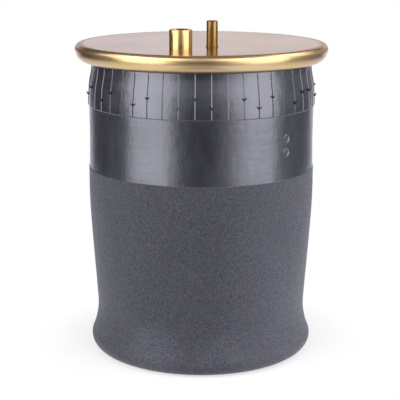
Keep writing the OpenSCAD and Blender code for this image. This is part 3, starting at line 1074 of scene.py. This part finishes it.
def soft_light(name, left, right, bottom, top, radiance):
    """A flat light that faces the sleeve and spans these angles; radiance is what a mirror would
    show."""
    width = 2 * LIGHT_DISTANCE * math.tan(math.radians((right - left) / 2))
    height = 2 * LIGHT_DISTANCE * math.tan(math.radians((top - bottom) / 2))
    light = bpy.data.lights.new(name, "AREA")
    light.shape = "RECTANGLE"
    light.size, light.size_y = width, height
    light.energy = math.pi * width * height * radiance
    light.color = LIGHT_COLOUR
    obj = add_object(name, light)
    a, e = math.radians((left + right) / 2), math.radians((bottom + top) / 2)
    direction = Vector((math.sin(a) * math.cos(e), -math.cos(a) * math.cos(e), math.sin(e)))
    obj.location = LIGHT_TARGET + direction * LIGHT_DISTANCE
    obj.rotation_euler = (-direction).to_track_quat("-Z", "Y").to_euler()
    obj.visible_camera = False


def world():
    """White where the camera looks; for reflections and fill, a dim room with a lit wall behind."""
    studio = bpy.data.worlds.new("studio")
    bpy.context.scene.world = studio
    studio.use_nodes = True
    n = Nodes(studio.node_tree)
    n.tree.nodes.clear()
    # The direction: z is its rise, and to_back is 1 straight to the back and -1 to the camera
    x, y, z = n.split(n.add("ShaderNodeTexCoord").outputs["Generated"])
    to_back = n.math("DIVIDE", y, n.largest(n.from_axis(x, y), 0.001))

    wall_low = n.largest(n.ramp(z, -0.13, -0.10, 1.5, 0.5), n.ramp(z, -0.01, 0.06, 0.0, 0.92))
    wall = n.product(
        n.ramp(to_back, n.ramp(z, -0.02, 0.02, 0.80, 0.83), n.ramp(z, -0.02, 0.02, 0.88, 0.93)),
        n.math("MINIMUM", n.ramp(z, 0.28, 0.20, 0.0, 1.6), wall_low),
    )
    # Beside the wall: what the edges of the sleeve mirror
    beside_low = n.product(n.ramp(z, -0.13, -0.10, 0.0, 0.35), n.ramp(z, 0.0, -0.03))
    beside = n.product(
        n.largest(n.ramp(z, -0.21, -0.27, 0.0, 0.20), beside_low),
        n.product(n.ramp(to_back, -0.02, 0.06), n.ramp(to_back, 0.42, 0.34)),
    )
    low_side = n.ramp(x, -0.1, 0.1, 0.03, 0.20)
    high_side = n.product(n.ramp(x, -0.1, 0.1, 0.08, 0.42), n.ramp(z, 0.24, 0.32, 1.0, 0.3))
    sides = n.product(
        n.product(n.ramp(to_back, -0.35, -0.05), n.ramp(to_back, 0.94, 0.84)),
        n.product(n.ramp(z, -0.12, 0.04, low_side, high_side), n.ramp(z, 0.72, 0.58)),
    )
    front = n.product(n.ramp(to_back, -0.5, -0.9), n.ramp(z, -0.10, 0.08, 0.0, 0.33))
    floor = n.product(n.ramp(to_back, 0.0, -0.4), n.ramp(z, -0.28, -0.48, 0.0, 0.30))
    overhead = n.ramp(z, 0.62, 0.78, 0.0, n.ramp(y, -0.2, 0.4, 0.18, 0.34))
    overhead = n.product(overhead, n.ramp(z, 0.92, 0.96, 1.0, 0.3))
    around = n.total(n.largest(wall, n.total(sides, beside)), 0.06)
    strength = n.total(around, n.total(front, floor, overhead))

    over_plate = n.mix(n.ramp(x, -0.10, 0.10), (0.97, 1.0, 1.08, 1), (0.97, 1.0, 0.96, 1))
    at_back = n.mix(n.ramp(z, 0.0, 0.05), (1.0, 0.96, 1.02, 1), over_plate)
    tone = n.mix(n.ramp(to_back, 0.6, 0.9), (0.86, 0.87, 1.0, 1), at_back)
    tone = n.mix(n.ramp(z, 0.91, 0.96), tone, (1.0, 0.74, 0.46, 1))
    room = n.add("ShaderNodeBackground", {"Color": tone, "Strength": strength}).outputs[0]
    white = n.add("ShaderNodeBackground", {"Color": WHITE, "Strength": 1.0}).outputs[0]
    seen = n.add("ShaderNodeLightPath").outputs["Is Camera Ray"]
    n.link(n.mix_shaders(seen, room, white), n.add("ShaderNodeOutputWorld").inputs[0])


# Softboxes in layers, so that their edges are soft: left and right edge, bottom and top in
# degrees, and radiance. Left and right are counted from the camera's side towards +X.
SOFTBOXES = (
    (-84.5, -14, -21, 58, 0.35), (-79, -25, -21, 58, 0.90), (-74, -29, -21, 58, 0.90),
    (-66, -31, -21, 58, 0.45), (-76, -46, -9, 52, 0.50),
    (12, 82, -21, 58, 0.35), (23, 82, -21, 58, 0.45), (33, 81, -21, 58, 0.60),
    (44, 79, -21, 58, 0.65), (28, 79, -9, 55, 0.75),
    (-44, -17, 28, 56, 0.65), (17, 44, 20, 56, 0.65),
    (-102, -74, 15, 57, 1.4), (91, 113, 20, 58, 2.1), (113, 141, 36, 58, 1.4),
)

# The camera of the photograph: place, lens in millimetres, and angles in degrees
CAMERA_PLACE = (-0.0020, -1.3343, 0.4839)
CAMERA_SENSOR = 36.0
CAMERA_LENS = 107.92
CAMERA_DOWN = 13.352
CAMERA_ROLL = -0.15


def camera():
    data = bpy.data.cameras.new("camera")
    data.sensor_width = CAMERA_SENSOR
    data.lens = CAMERA_LENS
    obj = add_object("camera", data)
    obj.location = CAMERA_PLACE
    obj.rotation_euler = (math.radians(90 - CAMERA_DOWN), math.radians(CAMERA_ROLL), 0)
    bpy.context.scene.camera = obj


table()
world()
for number, light in enumerate(SOFTBOXES):
    soft_light("softbox_%02d" % number, *light)
camera()
bpy.context.scene.view_settings.view_transform = "Standard"
